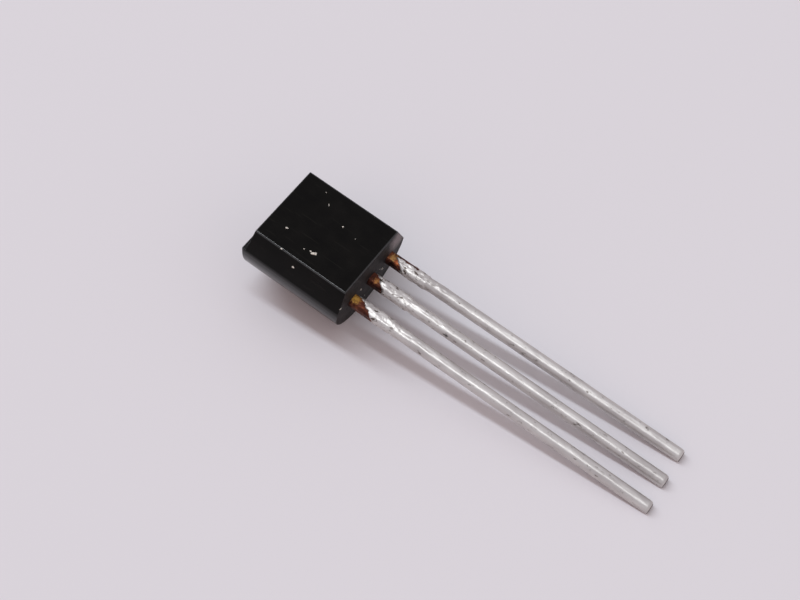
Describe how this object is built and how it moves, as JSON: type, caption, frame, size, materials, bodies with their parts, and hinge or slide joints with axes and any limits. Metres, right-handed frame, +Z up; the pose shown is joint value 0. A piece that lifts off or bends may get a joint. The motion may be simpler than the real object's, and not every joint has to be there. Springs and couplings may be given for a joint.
{
  "type": "voltage regulator",
  "caption": "Small through-hole voltage regulator: moulded black case with a flat front and round back on straight in-line tinned leads, lying on its back.",
  "frame": {"origin": "centre of the box's underside, on the surface that the part lies on, under the middle of its length", "axes": "+Z up from that surface, +X along the leads from the case to the cut ends, +Y across the leads towards the input lead; the case's flat faces up, its normal 8.8 degrees from +Z towards +X"},
  "size_m": [0.019, 0.0046, 0.0043],
  "materials": {
    "case": "moulded epoxy, satin gloss",
    "copper": "bare copper, oxidised",
    "solder": "dipped solder, bright and lumpy",
    "silicon": "polished",
    "attach": "matte",
    "wire": "drawn gold"
  },
  "bodies": {
    "root": {"moulded_case": "case", "adjust_lead": "copper", "output_lead": "copper", "input_lead": "copper", "adjust_solder_coat": "solder", "output_solder_coat": "solder", "input_solder_coat": "solder", "silicon_die": "silicon", "die_attach": "attach", "adjust_bond_wire": "wire", "output_bond_wire": "wire", "input_bond_wire": "wire"}
  },
  "joints": []
}
